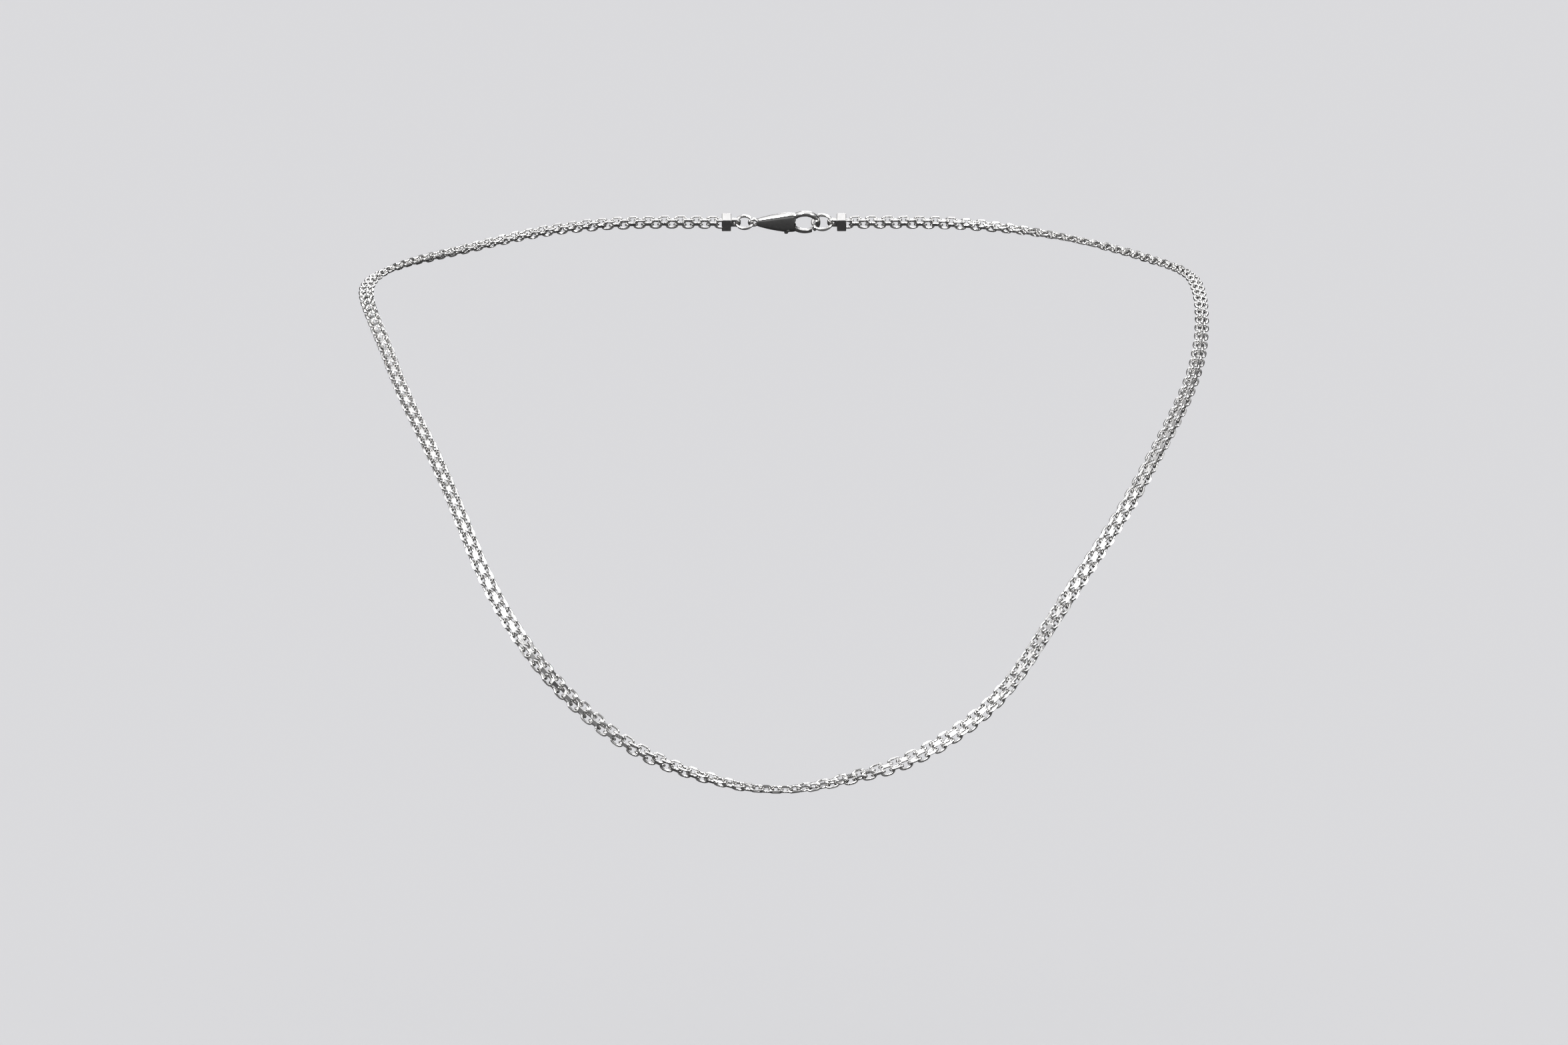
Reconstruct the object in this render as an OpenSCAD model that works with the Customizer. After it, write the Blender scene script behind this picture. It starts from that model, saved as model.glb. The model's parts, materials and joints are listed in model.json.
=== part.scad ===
// Double Bismark chain necklace with a lobster clasp, closed and worn.
// The loop hangs from the nape, which is the origin: the front of the wearer looks along -Y.
// Each link pair is two oval wire links soldered side by side, and the pairs are soldered at
// the face and at the back in turn, so each link's plane is square to the next one's.

/* [Chain] */
// Distance along the chain from one link pair to the next
pitch = 1.5; // [1.49:0.005:1.505]
// Wire diameter of the links
wire_d = 0.4; // [0.36:0.01:0.42]
// Half length of a link, to the middle of the wire
link_a = 1.04; // [1.03:0.005:1.05]
// Half width of a link, to the middle of the wire
link_b = 0.64; // [0.62:0.005:0.66]
// How deep the diamond-cut flats go into the wire
flat_depth = 0.08; // [0.06:0.01:0.09]
// Link pairs on each side of the chain's front middle
side_pairs = 161; // [158:1:161]

/* [Ends and rings] */
// Outside width of an end cap
cap_w = 3.1; // [3:0.05:3.4]
// Outside thickness of an end cap
cap_t = 1.76; // [1.7:0.02:2]
// Wall of an end cap
cap_wall = 0.2; // [0.18:0.01:0.22]
// Middle radius of the jump ring between the left cap and the clasp
jump_r = 1.5; // [1.48:0.01:1.52]
// Wire diameter of the jump ring
jump_d = 0.56; // [0.5:0.02:0.58]
// Middle radius of the ring that the clasp hooks into
end_r = 1.75; // [1.73:0.01:1.77]
// Wire diameter of the ring that the clasp hooks into
end_d = 0.6; // [0.54:0.02:0.62]

/* [Clasp] */
// Outside radius of the claw
claw_r = 2.9; // [2.8:0.05:3]
// Radius of the claw's opening
claw_hole_r = 1.98; // [1.95:0.01:2]
// Thickness of the claw
claw_t = 1; // [0.9:0.05:1.1]
// Thickness of the clasp's body, over the lever
body_t = 1.9; // [1.8:0.05:2]
// Thickness of the lever
lever_t = 0.6; // [0.5:0.05:0.6]
// Diameter of the lever's pivot pin
pin_d = 0.54; // [0.5:0.02:0.56]

/* [Hidden] */
$fn = 48;
silver = [0.86, 0.86, 0.87];
steel = [0.7, 0.7, 0.72];
// how far a cutting shape reaches past what it cuts
cut = 1;
wire_r = wire_d / 2;
lean = 45;
flat_r = wire_r - flat_depth;
straight = link_a - link_b;
// the slit between a pair's two links, which solder fills
slit = 0.1;
solder_w = slit + 0.1;
solder_l = 0.72;
solder_h = 0.12;
strand_x = slit / 2 + flat_r + link_b * cos(lean);

// Where the worn chain lies: for each route point, its place and the way that the chain's face
// looks there. The face turns half a turn across the front, from the viewer's left, where it
// looks forward, through the middle, where it looks down, to the right, where the back shows.
route = [
  [[16, 0, 0], [0, 0.6, 0.8]],
  [[0, 0, 0], [0, 0.6, 0.8]],
  [[-16, 0, 0], [0, 0.6, 0.8]],
  [[-31, -2, 0], [0, 0.6, 0.8]],
  [[-45, -9, -2], [-0.2, 0.4, 0.9]],
  [[-58, -18, -6], [-0.4, 0.2, 0.9]],
  [[-68, -31, -9], [-0.4, 0, 0.9]],
  [[-74, -46, -13], [-0.4, -0.2, 0.9]],
  [[-72, -61, -18], [-0.3, -0.4, 0.9]],
  [[-68, -74, -25], [-0.3, -0.6, 0.8]],
  [[-64, -86, -34], [-0.3, -0.7, 0.7]],
  [[-58, -97, -44], [-0.3, -0.7, 0.6]],
  [[-53, -108, -54], [-0.2, -0.8, 0.6]],
  [[-48, -116, -66], [-0.2, -0.9, 0.4]],
  [[-40, -123, -78], [-0.3, -0.9, 0.1]],
  [[-31, -126, -87], [-0.5, -0.8, -0.2]],
  [[-22, -128, -93], [-0.4, -0.7, -0.6]],
  [[-13, -130, -96], [-0.3, -0.4, -0.8]],
  [[-5, -131, -98], [-0.1, -0.2, -1]],
  [[3, -131, -98], [0.1, 0.1, -1]],
  [[11, -131, -96], [0.2, 0.4, -0.9]],
  [[19, -131, -94], [0.2, 0.8, -0.6]],
  [[28, -130, -89], [0.2, 0.9, -0.5]],
  [[35, -128, -83], [0.1, 1, -0.4]],
  [[40, -125, -76], [-0.2, 0.9, -0.3]],
  [[48, -119, -64], [-0.4, 0.9, -0.3]],
  [[56, -110, -53], [-0.5, 0.8, -0.3]],
  [[62, -101, -43], [-0.6, 0.7, -0.4]],
  [[68, -89, -33], [-0.7, 0.6, -0.4]],
  [[71, -77, -25], [-0.7, 0.4, -0.5]],
  [[72, -63, -17], [-0.7, 0.3, -0.6]],
  [[72, -48, -12], [-0.4, 0.2, -0.9]],
  [[67, -34, -9], [-0.1, 0.1, -1]],
  [[57, -19, -5], [0, 0, -1]],
  [[45, -9, -2], [0, -0.3, -1]],
  [[31, -2, 0], [0, -0.6, -0.8]],
  [[16, 0, 0], [0, -0.6, -0.8]],
  [[0, 0, 0], [0, -0.6, -0.8]],
  [[-16, 0, 0], [0, -0.6, -0.8]]
];
spans = len(route) - 3;
steps = 20;

// A smooth curve through the route, from the nape round the front and back to the nape.
function blend(u) = [
  pow(1 - u, 3),
  3 * pow(u, 3) - 6 * u * u + 4,
  1 + 3 * u + 3 * u * u - 3 * pow(u, 3),
  pow(u, 3)
] / 6;
function on_route(x, what) =
  let (
    k = min(floor(x), spans - 1),
    w = blend(x - k)
  )
  w[0] * route[k][what] + w[1] * route[k + 1][what]
  + w[2] * route[k + 2][what] + w[3] * route[k + 3][what];
places = [for (i = [0:spans * steps]) on_route(i / steps, 0)];
function step_to(i) = i <= spans * steps ? norm(places[i] - places[i - 1]) : 0;
lengths = [
  for (i = 0, sum = 0; i <= spans * steps; i = i + 1, sum = sum + step_to(i))
    sum
];
loop_length = lengths[spans * steps];
// the route's parameter at each length along it
travel = [for (i = [0:spans * steps]) [lengths[i], i / steps]];
function at(s) = on_route(lookup(s, travel), 0);
function unit(v) = v / norm(v);
function heading(s) = unit(at(min(s + pitch / 2, loop_length)) - at(max(s - pitch / 2, 0)));
function square_to(v, t) = unit(v - (v * t) * t);
function face(s) = square_to(on_route(lookup(s, travel), 1), heading(s));

// Half the length that the clasp, its rings and the caps bridge, to the middle of the first pair.
gap = (loop_length - (2 * side_pairs - 1) * pitch) / 2;

// Puts a child at length s, with its Y along the chain and its Z out of the chain's face.
module along(s) {
  p = at(s);
  y = heading(s);
  z = face(s);
  x = cross(y, z);
  multmatrix([
      [x[0], y[0], z[0], p[0]],
      [x[1], y[1], z[1], p[1]],
      [x[2], y[2], z[2], p[2]],
      [0, 0, 0, 1]
    ])
    children();
}

// Wire with the diamond-cut flats, whose edge looks along +X.
module cut_wire()
  intersection() {
    circle(r = wire_r);
    rotate(-45)
      translate([flat_r - cut, flat_r - cut])
        square(cut);
  }

// One oval link in the XY plane, long along Y.
module link() {
  for (end = [0, 180])
    rotate([0, 0, end]) {
      translate([0, straight, 0])
        rotate_extrude(angle = 180)
          translate([link_b, 0])
            cut_wire();
      rotate([90, 0, 0])
        linear_extrude(2 * straight, center = true)
          translate([link_b, 0])
            cut_wire();
    }
}

// Two links, one of each strand, soldered together at the face.
module link_pair() {
  for (side = [-1, 1])
    translate([side * strand_x, 0, 0])
      rotate([0, side * lean, 0])
        link();
  translate([-solder_w / 2, -solder_l / 2, link_b * cos(lean) - solder_h])
    cube([solder_w, solder_l, solder_h + flat_r]);
}

// Link pairs from..to of the whole chain, counted from the left end. Left is the viewer's left.
module chain_run(from, to)
  color(silver)
    for (i = [from:to])
      along(gap + i * pitch)
        rotate([0, 180 * (i % 2), 0])
          link_pair();

// The chain's runs on each side: 4 at the nape, 8 round the neck, and the rest at the front.
run = 12;
runs = 12;
front_run = side_pairs - runs * run;
function right_from(k) = 2 * side_pairs - (k + 1) * run;
module left_run(k) chain_run(k * run, (k + 1) * run - 1);
module right_run(k) chain_run(right_from(k), right_from(k) + run - 1);

// ---- Caps, rings and clasp. Their middle line is the nape's, with Y to the viewer's left.
// Each cap sits on the outermost pair, and its bar passes through both links.
cap_from = 0.2;
cap_to = 1.9;
cap_corner = 0.15;
cap_depth = 1.05;
tab_r = 0.95;
tab_t = 0.6;
tab_y = 2.75;
tab_hole_r = 0.5;
bar_y = 0.55;
bar_r = 0.18;
// where a ring's wire crosses the tab's hole
ring_y = 2.87;

module rounded(w, from, to, r)
  union() {
    for (x = [r - w / 2, w / 2 - r])
      for (y = [from + r, to - r])
        translate([x, y])
          circle(r);
    translate([-w / 2, from + r])
      square([w, to - from - 2 * r]);
    translate([r - w / 2, from])
      square([w - 2 * r, to - from]);
  }

// Drawn with +Y away from the chain, from the middle of the outermost pair.
module end_cap()
  color(silver) {
    difference() {
      union() {
        linear_extrude(cap_t, center = true)
          rounded(cap_w, cap_from, cap_to, cap_corner);
        linear_extrude(tab_t, center = true)
          union() {
            translate([0, tab_y])
              circle(tab_r);
            translate([-tab_r, cap_to - 0.1])
              square([2 * tab_r, tab_y - cap_to + 0.1]);
          }
      }
      translate([cap_wall - cap_w / 2, cap_from - cut, cap_wall - cap_t / 2])
        cube([cap_w - 2 * cap_wall, cut + cap_depth + cap_wall, cap_t - 2 * cap_wall]);
      translate([0, tab_y, 0])
        cylinder(r = tab_hole_r, h = tab_t + cut, center = true);
    }
    translate([0, bar_y, 0])
      rotate([0, 90, 0])
        cylinder(r = bar_r, h = cap_w - cap_wall, center = true);
  }

module left_end_cap()
  along(gap)
    rotate([0, 0, 180])
      end_cap();

module right_end_cap()
  along(loop_length - gap)
    end_cap();

module wire_ring(r, d)
  color(silver)
    rotate([0, 90, 0])
      rotate_extrude()
        translate([r, 0])
          circle(d = d);

jump_y = gap - ring_y - jump_r;
end_y = ring_y + end_r - gap;

// The clasp's eye, which the jump ring passes through, and the claw that holds the end ring.
eye_r = 1.05;
eye_hole_r = 0.55;
eye_t = 0.7;
eye_neck = 1.6;
ring_play = 0.1;
eye_y = jump_y - jump_r + jump_d / 2 + ring_play - eye_hole_r;
claw_y = end_y + end_r - end_d / 2 - 2 * ring_play + claw_hole_r;
body_w = 4.7;
body_from = claw_y + 1.7;
body_shoulder = claw_y + 3.8;
body_end = eye_y - 0.7;
body_end_w = 1.8;
slot_x = 0.3;
slot_w = 3;
slot_from = claw_y + 1.2;
slot_l = 2.9;
slot_t = 1.12;

module jump_ring()
  along(0)
    translate([0, jump_y, 0])
      wire_ring(jump_r, jump_d);

module end_ring()
  along(0)
    translate([0, end_y, 0])
      wire_ring(end_r, end_d);

// The lever turns on a pin beside the claw's opening, and its tip meets the claw's nose.
pivot = [1.5, claw_y + claw_hole_r + 1.1];
pin_fit = 0.02;
nose_y = -1.5;
root_y = 1.8;
lever_gap = 0.14;
lever_play = 0.05;
lever_root_r = 0.72;
thumb = [1.15, 0.35];
thumb_r = 0.38;
thumb_neck = 0.5;
arm_x = -0.1;
arm_w = 0.8;
arm_from = claw_y + 1.55;
arm_l = 1.5;

// The claw's mouth, on its right side, between the heights from and to above its middle.
module mouth(from, to)
  translate([0, claw_y + from])
    square([2 * claw_r + cut, to - from]);

module claw_outline()
  difference() {
    translate([0, claw_y])
      circle(claw_r);
    translate([0, claw_y])
      circle(claw_hole_r);
    mouth(nose_y, root_y);
  }

module body_outline()
  difference() {
    polygon([
        [-body_w / 2, body_from],
        [body_w / 2, body_from],
        [body_w / 2, body_shoulder],
        [body_end_w / 2, body_end],
        [-body_end_w / 2, body_end],
        [-body_w / 2, body_shoulder]
      ]);
    translate([0, claw_y])
      circle(claw_hole_r);
  }

module clasp_body()
  along(0)
    color(silver)
      difference() {
        union() {
          linear_extrude(claw_t, center = true)
            claw_outline();
          linear_extrude(body_t, center = true)
            body_outline();
          linear_extrude(eye_t, center = true)
            union() {
              translate([0, eye_y])
                circle(eye_r);
              translate([-eye_neck / 2, body_end - eye_neck / 2])
                square([eye_neck, eye_y - body_end + eye_neck / 2]);
            }
        }
        translate([0, eye_y, 0])
          cylinder(r = eye_hole_r, h = body_t + cut, center = true);
        // the slot that holds the lever's root and the spring
        translate([slot_x, slot_from, -slot_t / 2])
          cube([slot_w, slot_l, slot_t]);
        translate([pivot[0], pivot[1], 0])
          cylinder(d = pin_d + pin_fit, h = body_t + cut, center = true);
      }

module clasp_lever()
  along(0)
    color(silver)
      linear_extrude(lever_t, center = true)
        difference() {
          union() {
            intersection() {
              difference() {
                translate([0, claw_y])
                  circle(claw_r - lever_play);
                translate([0, claw_y])
                  circle(claw_hole_r + lever_play);
              }
              mouth(nose_y + lever_gap, root_y);
            }
            translate(pivot)
              circle(lever_root_r);
            translate([pivot[0] + arm_x, arm_from])
              square([arm_w, arm_l]);
            translate(pivot + thumb)
              circle(thumb_r);
            translate(pivot + [0, thumb[1] - thumb_neck / 2])
              square([thumb[0], thumb_neck]);
          }
          translate(pivot)
            circle(d = pin_d + 4 * pin_fit);
        }

module clasp_pin()
  along(0)
    color(silver)
      translate([pivot[0], pivot[1], 0])
        cylinder(d = pin_d, h = body_t, center = true);

// A turn of spring wire round the pin, beside the lever.
coil_r = 0.45;
coil_wire_r = 0.08;
coil_turn = 300;
coil_z = 0.43;

module clasp_spring()
  along(0)
    color(steel)
      translate([pivot[0], pivot[1], coil_z])
        rotate_extrude(angle = coil_turn)
          translate([coil_r, 0])
            circle(r = coil_wire_r);

clasp_body();
clasp_lever();
clasp_pin();
clasp_spring();
jump_ring();
end_ring();
left_end_cap();
right_end_cap();
left_run(0);  // nape_left_1
left_run(1);  // nape_left_2
left_run(2);  // nape_left_3
left_run(3);  // nape_left_4
right_run(0);  // nape_right_1
right_run(1);  // nape_right_2
right_run(2);  // nape_right_3
right_run(3);  // nape_right_4
left_run(4);  // left_links_1
left_run(5);  // left_links_2
left_run(6);  // left_links_3
left_run(7);  // left_links_4
left_run(8);  // left_links_5
left_run(9);  // left_links_6
left_run(10);  // left_links_7
left_run(11);  // left_links_8
right_run(4);  // right_links_1
right_run(5);  // right_links_2
right_run(6);  // right_links_3
right_run(7);  // right_links_4
right_run(8);  // right_links_5
right_run(9);  // right_links_6
right_run(10);  // right_links_7
right_run(11);  // right_links_8
chain_run(side_pairs - front_run, side_pairs - 1);  // front_links_left
chain_run(side_pairs, side_pairs + front_run - 1);  // front_links_right
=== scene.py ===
import json
import math
import random

import bmesh
import bpy
import numpy as np
from mathutils import Matrix, Vector


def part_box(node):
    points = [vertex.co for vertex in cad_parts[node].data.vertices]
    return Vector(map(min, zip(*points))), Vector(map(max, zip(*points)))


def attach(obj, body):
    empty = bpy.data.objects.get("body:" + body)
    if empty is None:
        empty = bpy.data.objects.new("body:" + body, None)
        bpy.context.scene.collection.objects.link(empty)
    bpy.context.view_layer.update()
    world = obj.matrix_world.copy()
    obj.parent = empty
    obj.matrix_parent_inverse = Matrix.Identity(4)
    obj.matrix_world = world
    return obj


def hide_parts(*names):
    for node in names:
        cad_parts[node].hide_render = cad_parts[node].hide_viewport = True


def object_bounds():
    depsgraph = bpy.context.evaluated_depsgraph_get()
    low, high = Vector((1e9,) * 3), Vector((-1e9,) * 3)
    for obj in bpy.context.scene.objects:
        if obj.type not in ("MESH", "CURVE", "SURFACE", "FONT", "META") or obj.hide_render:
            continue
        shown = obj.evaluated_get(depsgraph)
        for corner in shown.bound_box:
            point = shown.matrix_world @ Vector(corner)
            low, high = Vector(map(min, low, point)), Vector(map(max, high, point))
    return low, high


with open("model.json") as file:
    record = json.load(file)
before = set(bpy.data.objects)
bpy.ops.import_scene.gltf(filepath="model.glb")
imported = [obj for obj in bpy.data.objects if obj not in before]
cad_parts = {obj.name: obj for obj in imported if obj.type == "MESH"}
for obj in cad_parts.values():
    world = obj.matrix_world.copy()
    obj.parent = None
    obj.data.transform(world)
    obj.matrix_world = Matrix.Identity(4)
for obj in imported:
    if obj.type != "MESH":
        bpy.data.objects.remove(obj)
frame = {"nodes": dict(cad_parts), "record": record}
cad_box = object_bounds()
MM = 0.001

# ---- The chain's sizes, in millimetres, as the CAD model has them.
PITCH = 1.5
WIRE_R = 0.2
LINK_A = 1.04
LINK_B = 0.64
END_R = 0.54
LEAN = math.radians(45)
STRAND_X = 0.6225
HALF_WIDE = 1.195
HALF_THICK = 0.5725
SIDE_PAIRS = 161
# pairs in a run, runs on each side, and how many of those are on the nape
RUN = 12
RUNS = 12
NAPE_RUNS = 4
# how finely a link is drawn: steps round its middle line and round its wire
RING_STEPS = 56
WIRE_SIDES = 20
# the solder bead's half sizes: across, along and out of the face
BEAD = (0.41, 0.64, 0.19)
# points closer than this are one point
MERGE = 0.002

# Where the worn chain lies: each route point's place and the way that the chain's face looks there.
ROUTE = np.array([
    [[16, 0, 0], [0, 0.6, 0.8]],
    [[0, 0, 0], [0, 0.6, 0.8]],
    [[-16, 0, 0], [0, 0.6, 0.8]],
    [[-31, -2, 0], [0, 0.6, 0.8]],
    [[-45, -9, -2], [-0.2, 0.4, 0.9]],
    [[-58, -18, -6], [-0.4, 0.2, 0.9]],
    [[-68, -31, -9], [-0.4, 0, 0.9]],
    [[-74, -46, -13], [-0.4, -0.2, 0.9]],
    [[-72, -61, -18], [-0.3, -0.4, 0.9]],
    [[-68, -74, -25], [-0.3, -0.6, 0.8]],
    [[-64, -86, -34], [-0.3, -0.7, 0.7]],
    [[-58, -97, -44], [-0.3, -0.7, 0.6]],
    [[-53, -108, -54], [-0.2, -0.8, 0.6]],
    [[-48, -116, -66], [-0.2, -0.9, 0.4]],
    [[-40, -123, -78], [-0.3, -0.9, 0.1]],
    [[-31, -126, -87], [-0.5, -0.8, -0.2]],
    [[-22, -128, -93], [-0.4, -0.7, -0.6]],
    [[-13, -130, -96], [-0.3, -0.4, -0.8]],
    [[-5, -131, -98], [-0.1, -0.2, -1]],
    [[3, -131, -98], [0.1, 0.1, -1]],
    [[11, -131, -96], [0.2, 0.4, -0.9]],
    [[19, -131, -94], [0.2, 0.8, -0.6]],
    [[28, -130, -89], [0.2, 0.9, -0.5]],
    [[35, -128, -83], [0.1, 1, -0.4]],
    [[40, -125, -76], [-0.2, 0.9, -0.3]],
    [[48, -119, -64], [-0.4, 0.9, -0.3]],
    [[56, -110, -53], [-0.5, 0.8, -0.3]],
    [[62, -101, -43], [-0.6, 0.7, -0.4]],
    [[68, -89, -33], [-0.7, 0.6, -0.4]],
    [[71, -77, -25], [-0.7, 0.4, -0.5]],
    [[72, -63, -17], [-0.7, 0.3, -0.6]],
    [[72, -48, -12], [-0.4, 0.2, -0.9]],
    [[67, -34, -9], [-0.1, 0.1, -1]],
    [[57, -19, -5], [0, 0, -1]],
    [[45, -9, -2], [0, -0.3, -1]],
    [[31, -2, 0], [0, -0.6, -0.8]],
    [[16, 0, 0], [0, -0.6, -0.8]],
    [[0, 0, 0], [0, -0.6, -0.8]],
    [[-16, 0, 0], [0, -0.6, -0.8]],
])
SPANS = len(ROUTE) - 3
# measuring steps in each span, and how far off, in mm, the points are that give the direction
STEPS = 20
NEAR = 0.75


def on_route(x, what):
    """The route's place (what 0) or face direction (what 1) at the parameter x."""
    k = min(int(x), SPANS - 1)
    u = x - k
    weights = np.array([
        (1 - u) ** 3,
        3 * u**3 - 6 * u * u + 4,
        1 + 3 * u + 3 * u * u - 3 * u**3,
        u**3,
    ])
    return weights / 6 @ ROUTE[k:k + 4, what]


travel = np.arange(SPANS * STEPS + 1) / STEPS
places = np.array([on_route(x, 0) for x in travel])
lengths = np.concatenate([[0], np.cumsum(np.linalg.norm(np.diff(places, axis=0), axis=1))])
loop_length = lengths[-1]
gap = (loop_length - (2 * SIDE_PAIRS - 1) * PITCH) / 2


def unit(v):
    return v / np.linalg.norm(v)


def place_at(s):
    return on_route(np.interp(s, lengths, travel), 0)


def frame_at(s):
    """The place at length s, in mm, and the axes there: across, along and out of the chain's face."""
    along = unit(place_at(min(s + NEAR, loop_length)) - place_at(max(s - NEAR, 0)))
    out = on_route(np.interp(s, lengths, travel), 1)
    out = unit(out - (out @ along) * along)
    return place_at(s), np.array([np.cross(along, out), along, out])


# ---- One soldered pair of links, made once and then copied along the chain.
def oval(count):
    """Points and outward normals round a link's middle line, with tight arcs at the ends."""
    side_r = (LINK_B**2 + (LINK_A - END_R) ** 2 - END_R**2) / (2 * (LINK_B - END_R))
    turn = math.atan2(LINK_A - END_R, side_r - LINK_B)
    side_len = side_r * turn
    quarter = side_len + END_R * (math.pi / 2 - turn)
    points = []
    for i in range(count):
        t = 4 * quarter * i / count
        quadrant = int(t / quarter)
        d = t - quadrant * quarter
        if quadrant % 2:
            d = quarter - d
        if d < side_len:
            a = d / side_r
            p = np.array([side_r * math.cos(a) - (side_r - LINK_B), side_r * math.sin(a)])
        else:
            a = turn + (d - side_len) / END_R
            p = np.array([END_R * math.cos(a), END_R * math.sin(a) + LINK_A - END_R])
        n = np.array([math.cos(a), math.sin(a)])
        flip = np.array([1 if quadrant in (0, 3) else -1, 1 if quadrant < 2 else -1])
        points.append((p * flip, n * flip))
    return points


def link_mesh(side):
    """One closed oval link, leaning out from the face, as a mesh in mm."""
    bm = bmesh.new()
    rings = []
    for p, n in oval(RING_STEPS):
        ring = []
        for j in range(WIRE_SIDES):
            a = 2 * math.pi * (j + 0.5) / WIRE_SIDES
            x, y = p + n * WIRE_R * math.cos(a)
            ring.append(bm.verts.new((x, y, WIRE_R * math.sin(a))))
        rings.append(ring)
    for i in range(RING_STEPS):
        here, there = rings[i], rings[(i + 1) % RING_STEPS]
        for j in range(WIRE_SIDES):
            k = (j + 1) % WIRE_SIDES
            bm.faces.new((here[j], there[j], there[k], here[k]))
    place = Matrix.Translation((side * STRAND_X, 0, 0)) @ Matrix.Rotation(side * LEAN, 4, "Y")
    bmesh.ops.transform(bm, matrix=place, verts=bm.verts)
    bmesh.ops.recalc_face_normals(bm, faces=bm.faces)
    mesh = bpy.data.meshes.new("link")
    bm.to_mesh(mesh)
    bm.free()
    return mesh


def solder_mesh():
    """The solder between the two links, at the face: a long rounded bead."""
    bm = bmesh.new()
    bmesh.ops.create_uvsphere(bm, u_segments=20, v_segments=14, radius=1)
    top = LINK_B * math.cos(LEAN)
    bmesh.ops.scale(bm, vec=BEAD, verts=bm.verts)
    bmesh.ops.translate(bm, vec=(0, 0, top), verts=bm.verts)
    mesh = bpy.data.meshes.new("solder")
    bm.to_mesh(mesh)
    bm.free()
    return mesh


def link_pair():
    """Two links joined at the face, cut flat at the face, back and sides. Cut faces have material 1."""
    objects = []
    for name, mesh in (("pair", link_mesh(1)), ("left", link_mesh(-1)), ("bead", solder_mesh())):
        o = bpy.data.objects.new(name, mesh)
        bpy.context.scene.collection.objects.link(o)
        objects.append(o)
    pair = objects[0]
    for other in objects[1:]:
        union = pair.modifiers.new("union", "BOOLEAN")
        union.operation = "UNION"
        union.solver = "EXACT"
        union.object = other
    evaluated = pair.evaluated_get(bpy.context.evaluated_depsgraph_get())
    bm = bmesh.new()
    bm.from_mesh(evaluated.to_mesh())
    for o in objects:
        bpy.data.objects.remove(o)
    bmesh.ops.remove_doubles(bm, verts=bm.verts, dist=MERGE)
    for axis, limit in ((2, HALF_THICK), (0, HALF_WIDE)):
        for sign in (1, -1):
            normal = Vector((0, 0, 0))
            normal[axis] = sign
            cut = bmesh.ops.bisect_plane(
                bm, geom=bm.verts[:] + bm.edges[:] + bm.faces[:],
                plane_co=normal * limit, plane_no=normal, clear_outer=True)
            edges = [e for e in cut["geom_cut"] if isinstance(e, bmesh.types.BMEdge)]
            filled = bmesh.ops.holes_fill(bm, edges=edges, sides=0)
            for f in filled["faces"]:
                f.material_index = 1
                f.normal_update()
                if f.normal.dot(normal) < 0:
                    f.normal_flip()
    return bm


WIRE_SHARP_FROM = math.radians(50)


def mark_sharp_edges(bm):
    """Sharp edges round the cut flats and at steep folds, and smooth wire between them."""
    for e in bm.edges:
        kinds = {f.material_index for f in e.link_faces}
        wide = len(e.link_faces) == 2 and e.calc_face_angle(0) > WIRE_SHARP_FROM
        e.smooth = not (len(kinds) > 1 or wide)
    for f in bm.faces:
        f.smooth = f.material_index == 0


pair_bm = link_pair()
mark_sharp_edges(pair_bm)
pair_mesh = bpy.data.meshes.new("pair_template")
pair_bm.to_mesh(pair_mesh)
pair_bm.free()


def read(collection, name, width, kind):
    """One value of every member of a mesh's collection, as rows of the given width."""
    values = np.zeros(len(collection) * width, kind)
    collection.foreach_get(name, values)
    return values.reshape(-1, width) if width > 1 else values


PAIR_POINTS = read(pair_mesh.vertices, "co", 3, np.float64)
PAIR_LOOPS = read(pair_mesh.loops, "vertex_index", 1, np.int32)
PAIR_STARTS = read(pair_mesh.polygons, "loop_start", 1, np.int32)
PAIR_FINISH = read(pair_mesh.polygons, "material_index", 1, np.int32)
PAIR_SMOOTH = read(pair_mesh.polygons, "use_smooth", 1, bool)
PAIR_EDGES = read(pair_mesh.edges, "vertices", 2, np.int32)
PAIR_SHARP = read(pair_mesh.edges, "use_edge_sharp", 1, bool)

# Each pair's play against its neighbours, in roll and tilt, and its tone.
draws = random.Random(11)
ROLL_PLAY = math.radians(1.6)
TILT_PLAY = math.radians(1.2)
PLAY = [(draws.gauss(0, 1), draws.gauss(0, 1), draws.random()) for _ in range(2 * SIDE_PAIRS)]


def pair_place(i):
    """Pair i's points along the chain, in mm, with a little play between neighbours."""
    place, axes = frame_at(gap + i * PITCH)
    flip = -1 if i % 2 else 1
    roll = PLAY[i][0] * ROLL_PLAY
    tilt = PLAY[i][1] * TILT_PLAY
    turn = np.array(Matrix.Rotation(roll, 3, "Y") @ Matrix.Rotation(tilt, 3, "X"))
    local = (PAIR_POINTS * np.array([flip, 1, flip])) @ turn.T
    return place + local @ axes


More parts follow.
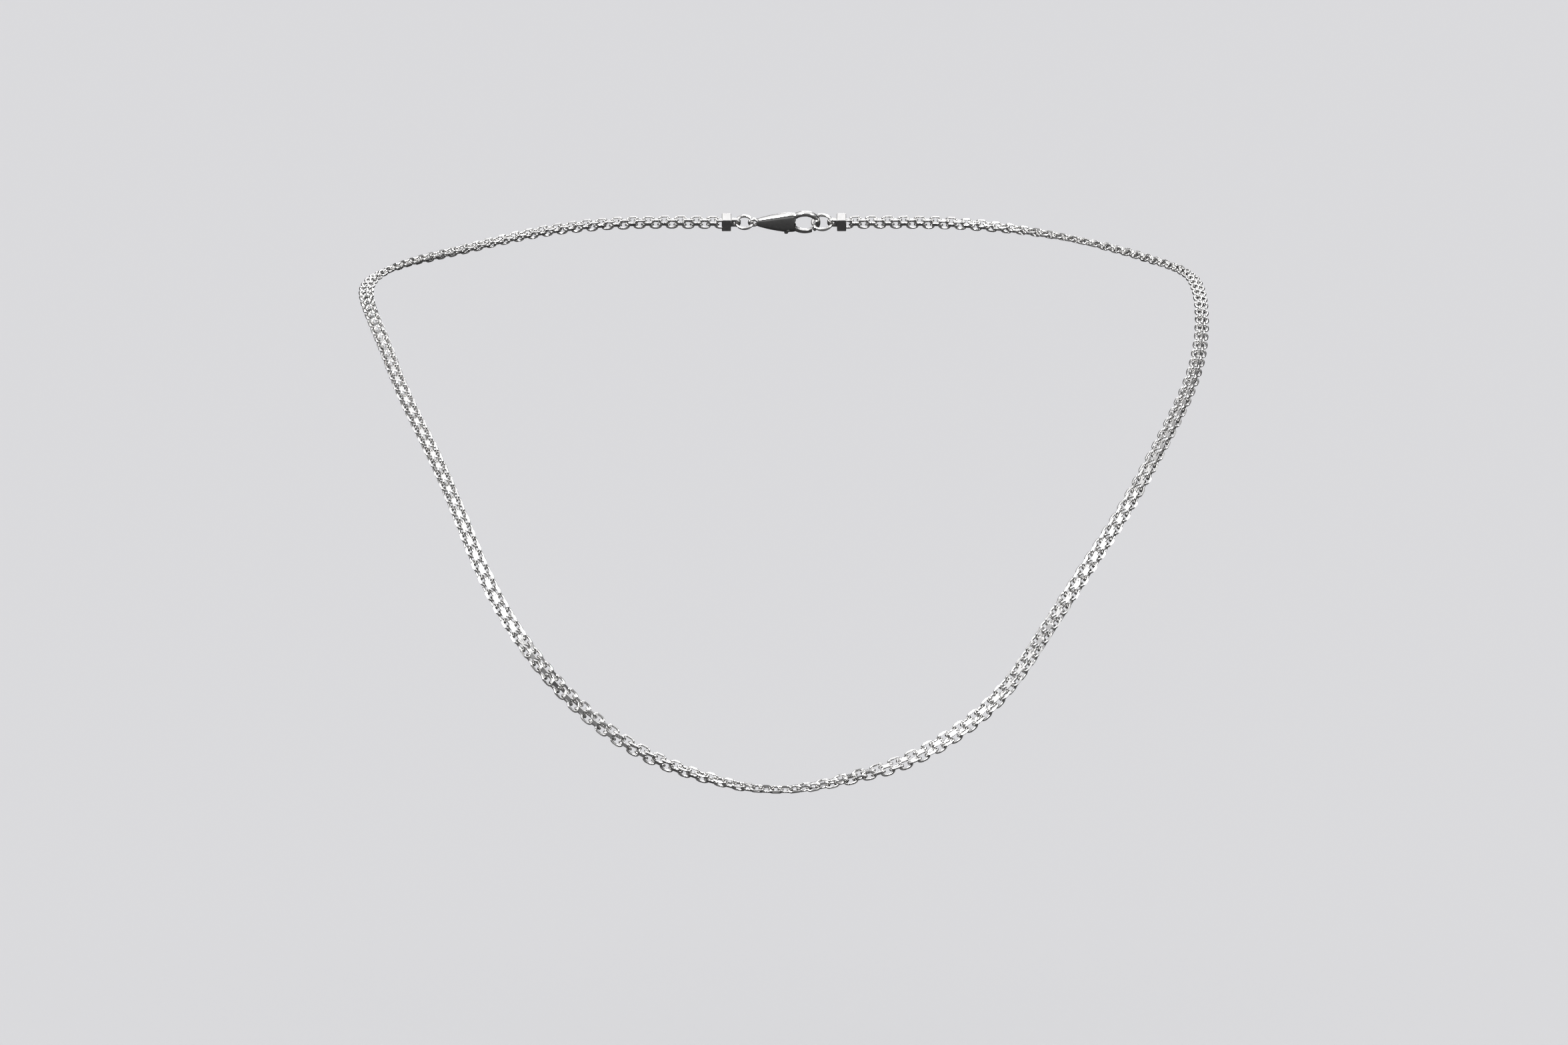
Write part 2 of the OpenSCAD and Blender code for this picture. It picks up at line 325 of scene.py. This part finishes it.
def chain_piece(name, first, last, finishes):
    """Pairs first..last of the chain as one mesh object."""
    count = last - first + 1
    points = np.concatenate([pair_place(i) for i in range(first, last + 1)]) * MM
    n = len(PAIR_POINTS)
    loops = np.concatenate([PAIR_LOOPS + k * n for k in range(count)])
    starts = np.concatenate([PAIR_STARTS + k * len(PAIR_LOOPS) for k in range(count)])
    mesh = bpy.data.meshes.new(name)
    mesh.vertices.add(len(points))
    mesh.vertices.foreach_set("co", points.astype(np.float32).ravel())
    mesh.loops.add(len(loops))
    mesh.loops.foreach_set("vertex_index", loops)
    mesh.polygons.add(len(starts))
    mesh.polygons.foreach_set("loop_start", starts)
    mesh.polygons.foreach_set("material_index", np.tile(PAIR_FINISH, count))
    mesh.polygons.foreach_set("use_smooth", np.tile(PAIR_SMOOTH, count))
    mesh.update(calc_edges=True)
    tone = mesh.attributes.new("tone", "FLOAT", "POINT")
    tones = [PLAY[i][2] for i in range(first, last + 1)]
    tone.data.foreach_set("value", np.repeat(tones, n).astype(np.float32))
    sharp_pairs = PAIR_EDGES[PAIR_SHARP]
    sharp = {tuple(sorted(e)) for k in range(count) for e in (sharp_pairs + k * n).tolist()}
    edges = read(mesh.edges, "vertices", 2, np.int32)
    flags = np.array([tuple(sorted(e)) in sharp for e in edges.tolist()])
    mesh.edges.foreach_set("use_edge_sharp", flags)
    mesh.validate()
    for material in finishes:
        mesh.materials.append(material)
    piece = bpy.data.objects.new(name, mesh)
    bpy.context.scene.collection.objects.link(piece)
    return piece


# ---- Materials
def material(name):
    m = bpy.data.materials.new(name)
    m.use_nodes = True
    return m, m.node_tree.nodes, m.node_tree.links, m.node_tree.nodes["Principled BSDF"]


def metal(name, scale, detail, rough, colours, bump=None, rough_from=None):
    """A bare metal whose roughness, colour and surface vary with a fine noise, each between two values.

    bump is its strength and its depth in metres. rough_from is an attribute for the roughness to follow
    instead of the noise.
    """
    m, nodes, links, shader = material(name)
    shader.inputs["Metallic"].default_value = 1
    coordinates = nodes.new("ShaderNodeTexCoord")
    noise = nodes.new("ShaderNodeTexNoise")
    noise.inputs["Scale"].default_value = scale
    noise.inputs["Detail"].default_value = detail
    links.new(coordinates.outputs["Object"], noise.inputs["Vector"])
    guide = noise
    if rough_from:
        guide = nodes.new("ShaderNodeAttribute")
        guide.attribute_name = rough_from
    spread = nodes.new("ShaderNodeMapRange")
    spread.inputs["To Min"].default_value, spread.inputs["To Max"].default_value = rough
    links.new(guide.outputs["Fac"], spread.inputs["Value"])
    links.new(spread.outputs["Result"], shader.inputs["Roughness"])
    mixed = nodes.new("ShaderNodeMix")
    mixed.data_type = "RGBA"
    mixed.inputs[6].default_value, mixed.inputs[7].default_value = [(*c, 1) for c in colours]
    links.new(noise.outputs["Fac"], mixed.inputs[0])
    links.new(mixed.outputs[2], shader.inputs["Base Color"])
    if bump:
        relief = nodes.new("ShaderNodeBump")
        relief.inputs["Strength"].default_value, relief.inputs["Distance"].default_value = bump
        links.new(noise.outputs["Fac"], relief.inputs["Height"])
        links.new(relief.outputs["Normal"], shader.inputs["Normal"])
    return m


# Rhodium-plated silver, barrel polished and a little uneven under the plating.
POLISH = metal(
    "silver_polish", 1400, 3, (0.10, 0.24), ((0.66, 0.652, 0.645), (0.82, 0.815, 0.805)), (0.12, 0.00004))
# The diamond-cut flats: finely uneven from the cutter, and a little duller on some pairs than others.
CUT = metal(
    "silver_cut", 2600, 2, (0.16, 0.30), ((0.70, 0.693, 0.687), (0.88, 0.875, 0.868)), (0.25, 0.00002),
    rough_from="tone")
# Plain steel spring wire, drawn and a little dull.
SPRING = metal("spring_steel", 4000, 2, (0.26, 0.42), ((0.56, 0.56, 0.58), (0.56, 0.56, 0.58)))


def floor_paint():
    m, _, _, shader = material("floor")
    shader.inputs["Base Color"].default_value = (0.80, 0.80, 0.81, 1)
    shader.inputs["Roughness"].default_value = 0.9
    shader.inputs["Specular IOR Level"].default_value = 0
    return m


# ---- The chain's pieces, one for each CAD node, riding on that node's body.
body_of = {n: b for b, nodes in frame["record"]["behaviour"]["bodies"].items() for n in nodes}


def runs():
    """Each chain node's name with its first and last pair, from both ends to the front middle."""
    last = 2 * SIDE_PAIRS - 1
    for k in range(RUNS):
        name = f"nape_{{}}_{k + 1}" if k < NAPE_RUNS else f"{{}}_links_{k - NAPE_RUNS + 1}"
        yield name.format("left"), k * RUN, (k + 1) * RUN - 1
        yield name.format("right"), last - (k + 1) * RUN + 1, last - k * RUN
    yield "front_links_left", RUNS * RUN, SIDE_PAIRS - 1
    yield "front_links_right", SIDE_PAIRS, last - RUNS * RUN


for node, first, last in runs():
    piece = chain_piece(f"{node}.chain", first, last, (POLISH, CUT))
    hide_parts(node)
    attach(piece, body_of[node])


# ---- The clasp, its rings and the end caps: cast, turned and bent pieces with worn edges.
SHARP_FROM = math.radians(40)
FLAT_TO = math.radians(1)


def object_of(name, bm, finish, body, nodes):
    """Makes a finished piece that stands for the given CAD nodes and rides on the body."""
    for f in bm.faces:
        f.smooth = True
    for e in bm.edges:
        e.smooth = len(e.link_faces) != 2 or e.calc_face_angle(0) < SHARP_FROM
    mesh = bpy.data.meshes.new(name)
    bm.to_mesh(mesh)
    bm.free()
    mesh.materials.append(finish)
    piece = bpy.data.objects.new(name, mesh)
    bpy.context.scene.collection.objects.link(piece)
    weighted = piece.modifiers.new("weighted", "WEIGHTED_NORMAL")
    weighted.keep_sharp = True
    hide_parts(*nodes)
    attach(piece, body)


def worn_copy(node, edge, finish=POLISH):
    """Makes a piece of the CAD node's shape, with every sharp edge rounded over by edge, in mm."""
    bm = bmesh.new()
    bm.from_mesh(frame["nodes"][node].data)
    bmesh.ops.remove_doubles(bm, verts=bm.verts, dist=MERGE * MM)
    bmesh.ops.dissolve_limit(bm, angle_limit=FLAT_TO, verts=bm.verts, edges=bm.edges)
    sharp = [e for e in bm.edges if len(e.link_faces) == 2 and e.calc_face_angle(0) > SHARP_FROM]
    if edge:
        bmesh.ops.bevel(bm, geom=sharp, offset=edge * MM, offset_type="OFFSET", segments=3,
                        profile=0.5, affect="EDGES", clamp_overlap=False)
    object_of(f"{node}.worn", bm, finish, body_of[node], [node])


# How much a ring's wire swells at its soldered joint, and over what length, in mm.
SWELL = 0.07
SWELL_LENGTH = 0.2


def wire_ring(node, radius, wire_r, turns=72, sides=20):
    """Makes a round ring in the plane along and out of the chain, a little thicker at its soldered joint."""
    low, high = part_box(node)
    middle = (low + high) / 2
    _, axes = frame_at(0)
    bm = bmesh.new()
    rings = []
    for i in range(turns):
        a = 2 * math.pi * i / turns
        away = min(i, turns - i) * 2 * math.pi * radius / turns
        swell = 1 + SWELL * math.exp(-(away / SWELL_LENGTH) ** 2)
        out = np.array([0, math.cos(a), math.sin(a)])
        ring = []
        for j in range(sides):
            b = 2 * math.pi * j / sides
            local = out * (radius + swell * wire_r * math.cos(b))
            local[0] += swell * wire_r * math.sin(b)
            ring.append(bm.verts.new(middle + Vector(local @ axes) * MM))
        rings.append(ring)
    for i in range(turns):
        here, there = rings[i], rings[(i + 1) % turns]
        for j in range(sides):
            k = (j + 1) % sides
            bm.faces.new((here[j], there[j], there[k], here[k]))
    bmesh.ops.recalc_face_normals(bm, faces=bm.faces)
    object_of(f"{node}.wire", bm, POLISH, body_of[node], [node])


# The clasp's places along its own line, in mm from the nape, as part.scad works them out.
JUMP_R = 1.5
JUMP_D = 0.56
HOOKED_R = 1.75
HOOKED_D = 0.6
RING_Y = 2.87
CLAW_HOLE_R = 1.98
CLAW_MID_R = 2.44
EYE_HOLE_R = 0.55
# how far each ring is from the clasp at rest: this much at the eye and twice this at the hook
RING_PLAY = 0.1
EYE_Y = gap - RING_Y - 2 * JUMP_R + JUMP_D / 2 + RING_PLAY - EYE_HOLE_R
CLAW_Y = RING_Y + 2 * HOOKED_R - gap - HOOKED_D / 2 - 2 * RING_PLAY + CLAW_HOLE_R

# The barrel's sections: place along the clasp, half width and half thickness.
BARREL = (
    (CLAW_Y + 1.62, 2.25, 0.56),
    (CLAW_Y + 1.7, 2.33, 0.66),
    (CLAW_Y + 2.2, 2.35, 0.84),
    (CLAW_Y + 3.0, 2.33, 0.94),
    (CLAW_Y + 3.8, 2.25, 0.95),
    (CLAW_Y + 5.0, 1.98, 0.92),
    (EYE_Y - 3.2, 1.66, 0.84),
    (EYE_Y - 2.0, 1.28, 0.7),
    (EYE_Y - 1.1, 0.98, 0.54),
    (EYE_Y - 0.7, 0.82, 0.44),
    (EYE_Y - 0.6, 0.7, 0.38),
)
# the hook: from and to in degrees, half width and half thickness
HOOK = (128, 322, 0.46, 0.5)
# the eye: its ring's middle radius, half width and half thickness
EYE = (0.8, 0.25, 0.33)
# the slot for the lever: from and to across, from and to along, half thickness
SLOT_X = (0.3, 3.3)
SLOT_Y = (CLAW_Y + 1.2, CLAW_Y + 4.1)
SLOT_T = 0.42
CUT_THROUGH = 2


def loft(sections, closed=False):
    """A closed skin over rings of points, in mm."""
    bm = bmesh.new()
    rings = [[bm.verts.new(p) for p in ring] for ring in sections]
    sides = len(rings[0])
    for here, there in zip(rings, rings[1:] + rings[:1] if closed else rings[1:]):
        for j in range(sides):
            k = (j + 1) % sides
            bm.faces.new((here[j], there[j], there[k], here[k]))
    if not closed:
        bm.faces.new(rings[0][::-1])
        bm.faces.new(rings[-1])
    bmesh.ops.recalc_face_normals(bm, faces=bm.faces)
    return bm


def round_box(half_w, half_t, sides=32, power=0.72):
    """A cross-section between an oval and a box."""
    for j in range(sides):
        a = 2 * math.pi * (j + 0.5) / sides
        c, d = math.cos(a), math.sin(a)
        across = half_w * math.copysign(abs(c) ** power, c)
        yield across, half_t * math.copysign(abs(d) ** power, d)


# how much of a bar's thickness its rounded end loses
END_TAPER = 0.85


def swept_arc(radius, middle_y, first, last, half_w, half_t, steps=40, blunt=0.3):
    """A rounded bar bent round an arc from first to last, in degrees, with rounded ends."""
    sections = []
    for i in range(steps + 1):
        a = math.radians(first + (last - first) * i / steps)
        end = min(i, steps - i) / steps * math.radians(abs(last - first)) * radius
        slim = math.sqrt(1 - (1 - min(end / blunt, 1)) ** 2 * END_TAPER)
        ring = []
        for u, v in round_box(half_w * slim, half_t * slim):
            ring.append(((radius + u) * math.cos(a), middle_y + (radius + u) * math.sin(a), v))
        sections.append(ring)
    return loft(sections)


def drum(y, radius, half_t, sides=48, soft=0.08):
    """A short round bar with softened rims, for cutting a hole through the clasp."""
    profile = (
        (-half_t, radius - soft),
        (-half_t + soft, radius),
        (half_t - soft, radius),
        (half_t, radius - soft),
    )
    turns = [2 * math.pi * j / sides for j in range(sides)]
    return loft([[(r * math.cos(a), y + r * math.sin(a), z) for a in turns] for z, r in profile])


def joined(first, others, kind="UNION"):
    """The first shape with the others added to it or cut from it."""
    objects = []
    for bm in [first, *others]:
        mesh = bpy.data.meshes.new("shape")
        bm.to_mesh(mesh)
        bm.free()
        o = bpy.data.objects.new("shape", mesh)
        bpy.context.scene.collection.objects.link(o)
        objects.append(o)
    for other in objects[1:]:
        step = objects[0].modifiers.new("join", "BOOLEAN")
        step.operation = kind
        step.solver = "EXACT"
        step.object = other
    bm = bmesh.new()
    bm.from_mesh(objects[0].evaluated_get(bpy.context.evaluated_depsgraph_get()).to_mesh())
    for o in objects:
        bpy.data.objects.remove(o)
    return bm


def on_clasp_line(bm):
    """Moves a shape from the clasp's own axes, in mm, to its place at the nape, in metres."""
    place, axes = frame_at(0)
    turn = Matrix(axes.T).to_4x4()
    bmesh.ops.transform(bm, matrix=Matrix.Scale(MM, 4) @ Matrix.Translation(place) @ turn, verts=bm.verts)
    bmesh.ops.recalc_face_normals(bm, faces=bm.faces)
    return bm


def cast_eye(around=40, sides=16):
    """The ring at the clasp's end that the jump ring passes through."""
    middle_r, half_w, half_t = EYE
    rings = []
    for a in np.linspace(0, 2 * math.pi, around, endpoint=False):
        ring = []
        for b in np.linspace(0, 2 * math.pi, sides, endpoint=False):
            r = middle_r + half_w * math.cos(b)
            ring.append((r * math.cos(a), EYE_Y + r * math.sin(a), half_t * math.sin(b)))
        rings.append(ring)
    return loft(rings, closed=True)


def cast_clasp():
    """The clasp's body: a rounded, tapering barrel with a hook at one end and an eye at the other."""
    sections = [[(u, y, v) for u, v in round_box(w, t)] for y, w, t in BARREL]
    hook = swept_arc(CLAW_MID_R, CLAW_Y, *HOOK)
    solid = joined(loft(sections), [hook, cast_eye()])
    (x0, x1), (y0, y1) = SLOT_X, SLOT_Y
    corners = ((x0, y0), (x1, y0), (x1, y1), (x0, y1))
    slot = loft([[(x, y, z) for x, y in corners] for z in (-SLOT_T, SLOT_T)])
    claw_hole = drum(CLAW_Y, CLAW_HOLE_R, CUT_THROUGH)
    eye_hole = drum(EYE_Y, EYE_HOLE_R, CUT_THROUGH)
    return joined(solid, [claw_hole, eye_hole, slot], "DIFFERENCE")


object_of("clasp_body.cast", on_clasp_line(cast_clasp()), POLISH, "clasp", ["clasp_body"])
worn_copy("clasp_lever", 0.1)
worn_copy("clasp_pin", 0.05)
worn_copy("clasp_spring", 0, SPRING)
worn_copy("left_end_cap", 0.07)
worn_copy("right_end_cap", 0.07)
wire_ring("jump_ring", JUMP_R, JUMP_D / 2)
wire_ring("end_ring", HOOKED_R, HOOKED_D / 2)

# ---- Camera, stage and light
VIEW_FROM = Vector((0, -0.9315, -0.0555))
camera_data = bpy.data.cameras.new("camera")
camera_data.sensor_width = 36
camera_data.lens = 115.7
camera = bpy.data.objects.new("camera", camera_data)
camera.location = VIEW_FROM
camera.rotation_euler = (math.radians(90), 0, 0)
bpy.context.scene.collection.objects.link(camera)
bpy.context.scene.camera = camera

FLOOR_DROP = 0.04
FLOOR_Z = cad_box[0].z - FLOOR_DROP
FLOOR_Y = -0.06


def studio_bowl():
    """A round pale floor that curves up into a wall all round."""
    flat_r, bend_r, wall_z, turns = 1.7, 0.9, 3.0, 96
    profile = [(0, 0), (flat_r / 2, 0)]
    profile += [(flat_r + bend_r * math.sin(a), bend_r * (1 - math.cos(a)))
                for a in np.linspace(0, math.pi / 2, 16)]
    profile.append((flat_r + bend_r, wall_z))
    bm = bmesh.new()
    rings = []
    angles = [2 * math.pi * i / turns for i in range(turns)]
    for r, z in profile:
        if r:
            rings.append([bm.verts.new((r * math.cos(a), r * math.sin(a), z)) for a in angles])
        else:
            rings.append([bm.verts.new((0, 0, z))])
    for i in range(turns):
        k = (i + 1) % turns
        bm.faces.new((rings[0][0], rings[1][i], rings[1][k]))
        for low, high in zip(rings[1:], rings[2:]):
            bm.faces.new((low[i], high[i], high[k], low[k]))
    mesh = bpy.data.meshes.new("floor")
    bm.to_mesh(mesh)
    bm.free()
    for p in mesh.polygons:
        p.use_smooth = True
    mesh.materials.append(floor_paint())
    floor = bpy.data.objects.new("floor", mesh)
    floor.location = (0, FLOOR_Y, FLOOR_Z)
    bpy.context.scene.collection.objects.link(floor)
    floor.visible_glossy = False
    floor.visible_shadow = False
    floor.visible_diffuse = False


def area_light(name, place, size, power, target=(0, -0.08, -0.05)):
    data = bpy.data.lights.new(name, "AREA")
    data.shape = "DISK"
    data.size = size
    data.energy = power
    lamp = bpy.data.objects.new(name, data)
    lamp.location = place
    lamp.rotation_euler = (Vector(target) - Vector(place)).to_track_quat("-Z", "Y").to_euler()
    bpy.context.scene.collection.objects.link(lamp)
    lamp.visible_diffuse = False


studio_bowl()
area_light("key", (-0.5, -0.85, 0.75), 0.7, 20)
area_light("rim", (0.9, -0.55, 0.6), 0.4, 8)
area_light("back", (0.1, 0.9, 0.8), 0.5, 6)
area_light("low_left", (-0.9, -0.35, -0.05), 0.12, 1)


def studio_world():
    """A soft studio: plain pale light, but a bright top and a dark horizon and far side in reflections."""
    world = bpy.data.worlds.new("studio")
    bpy.context.scene.world = world
    world.use_nodes = True
    nodes, links = world.node_tree.nodes, world.node_tree.links
    nodes.clear()
    coordinates = nodes.new("ShaderNodeTexCoord")
    split = nodes.new("ShaderNodeSeparateXYZ")
    links.new(coordinates.outputs["Generated"], split.inputs[0])
    ramp = nodes.new("ShaderNodeValToRGB")
    height = nodes.new("ShaderNodeMapRange")
    height.inputs["From Min"].default_value = -1
    links.new(split.outputs["Z"], height.inputs["Value"])
    links.new(height.outputs["Result"], ramp.inputs["Fac"])
    stops = (
        (0.0, 0.05), (0.1, 0.08), (0.2, 0.26), (0.36, 0.12), (0.5, 0.04),
        (0.62, 0.14), (0.74, 0.45), (0.88, 1.0), (1.0, 1.3),
    )
    for at, _ in stops[1:-1]:
        ramp.color_ramp.elements.new(at)
    for element, (at, grey) in zip(ramp.color_ramp.elements, stops):
        element.position = at
        element.color = (grey, grey, grey * 1.01, 1)
    reflected = nodes.new("ShaderNodeBackground")
    links.new(ramp.outputs["Color"], reflected.inputs["Color"])
    depth = nodes.new("ShaderNodeMapRange")
    depth.inputs["From Min"].default_value = 0.1
    depth.inputs["From Max"].default_value = 0.6
    depth.inputs["To Min"].default_value = 1
    depth.inputs["To Max"].default_value = 0.1
    links.new(split.outputs["Y"], depth.inputs["Value"])
    links.new(depth.outputs["Result"], reflected.inputs["Strength"])
    plain = nodes.new("ShaderNodeBackground")
    plain.inputs["Color"].default_value = (0.8, 0.8, 0.81, 1)
    plain.inputs["Strength"].default_value = 1.1
    path = nodes.new("ShaderNodeLightPath")
    mix = nodes.new("ShaderNodeMixShader")
    links.new(path.outputs["Is Glossy Ray"], mix.inputs["Fac"])
    links.new(plain.outputs[0], mix.inputs[1])
    links.new(reflected.outputs[0], mix.inputs[2])
    out = nodes.new("ShaderNodeOutputWorld")
    links.new(mix.outputs[0], out.inputs["Surface"])


studio_world()
bpy.context.scene.view_settings.view_transform = "Standard"
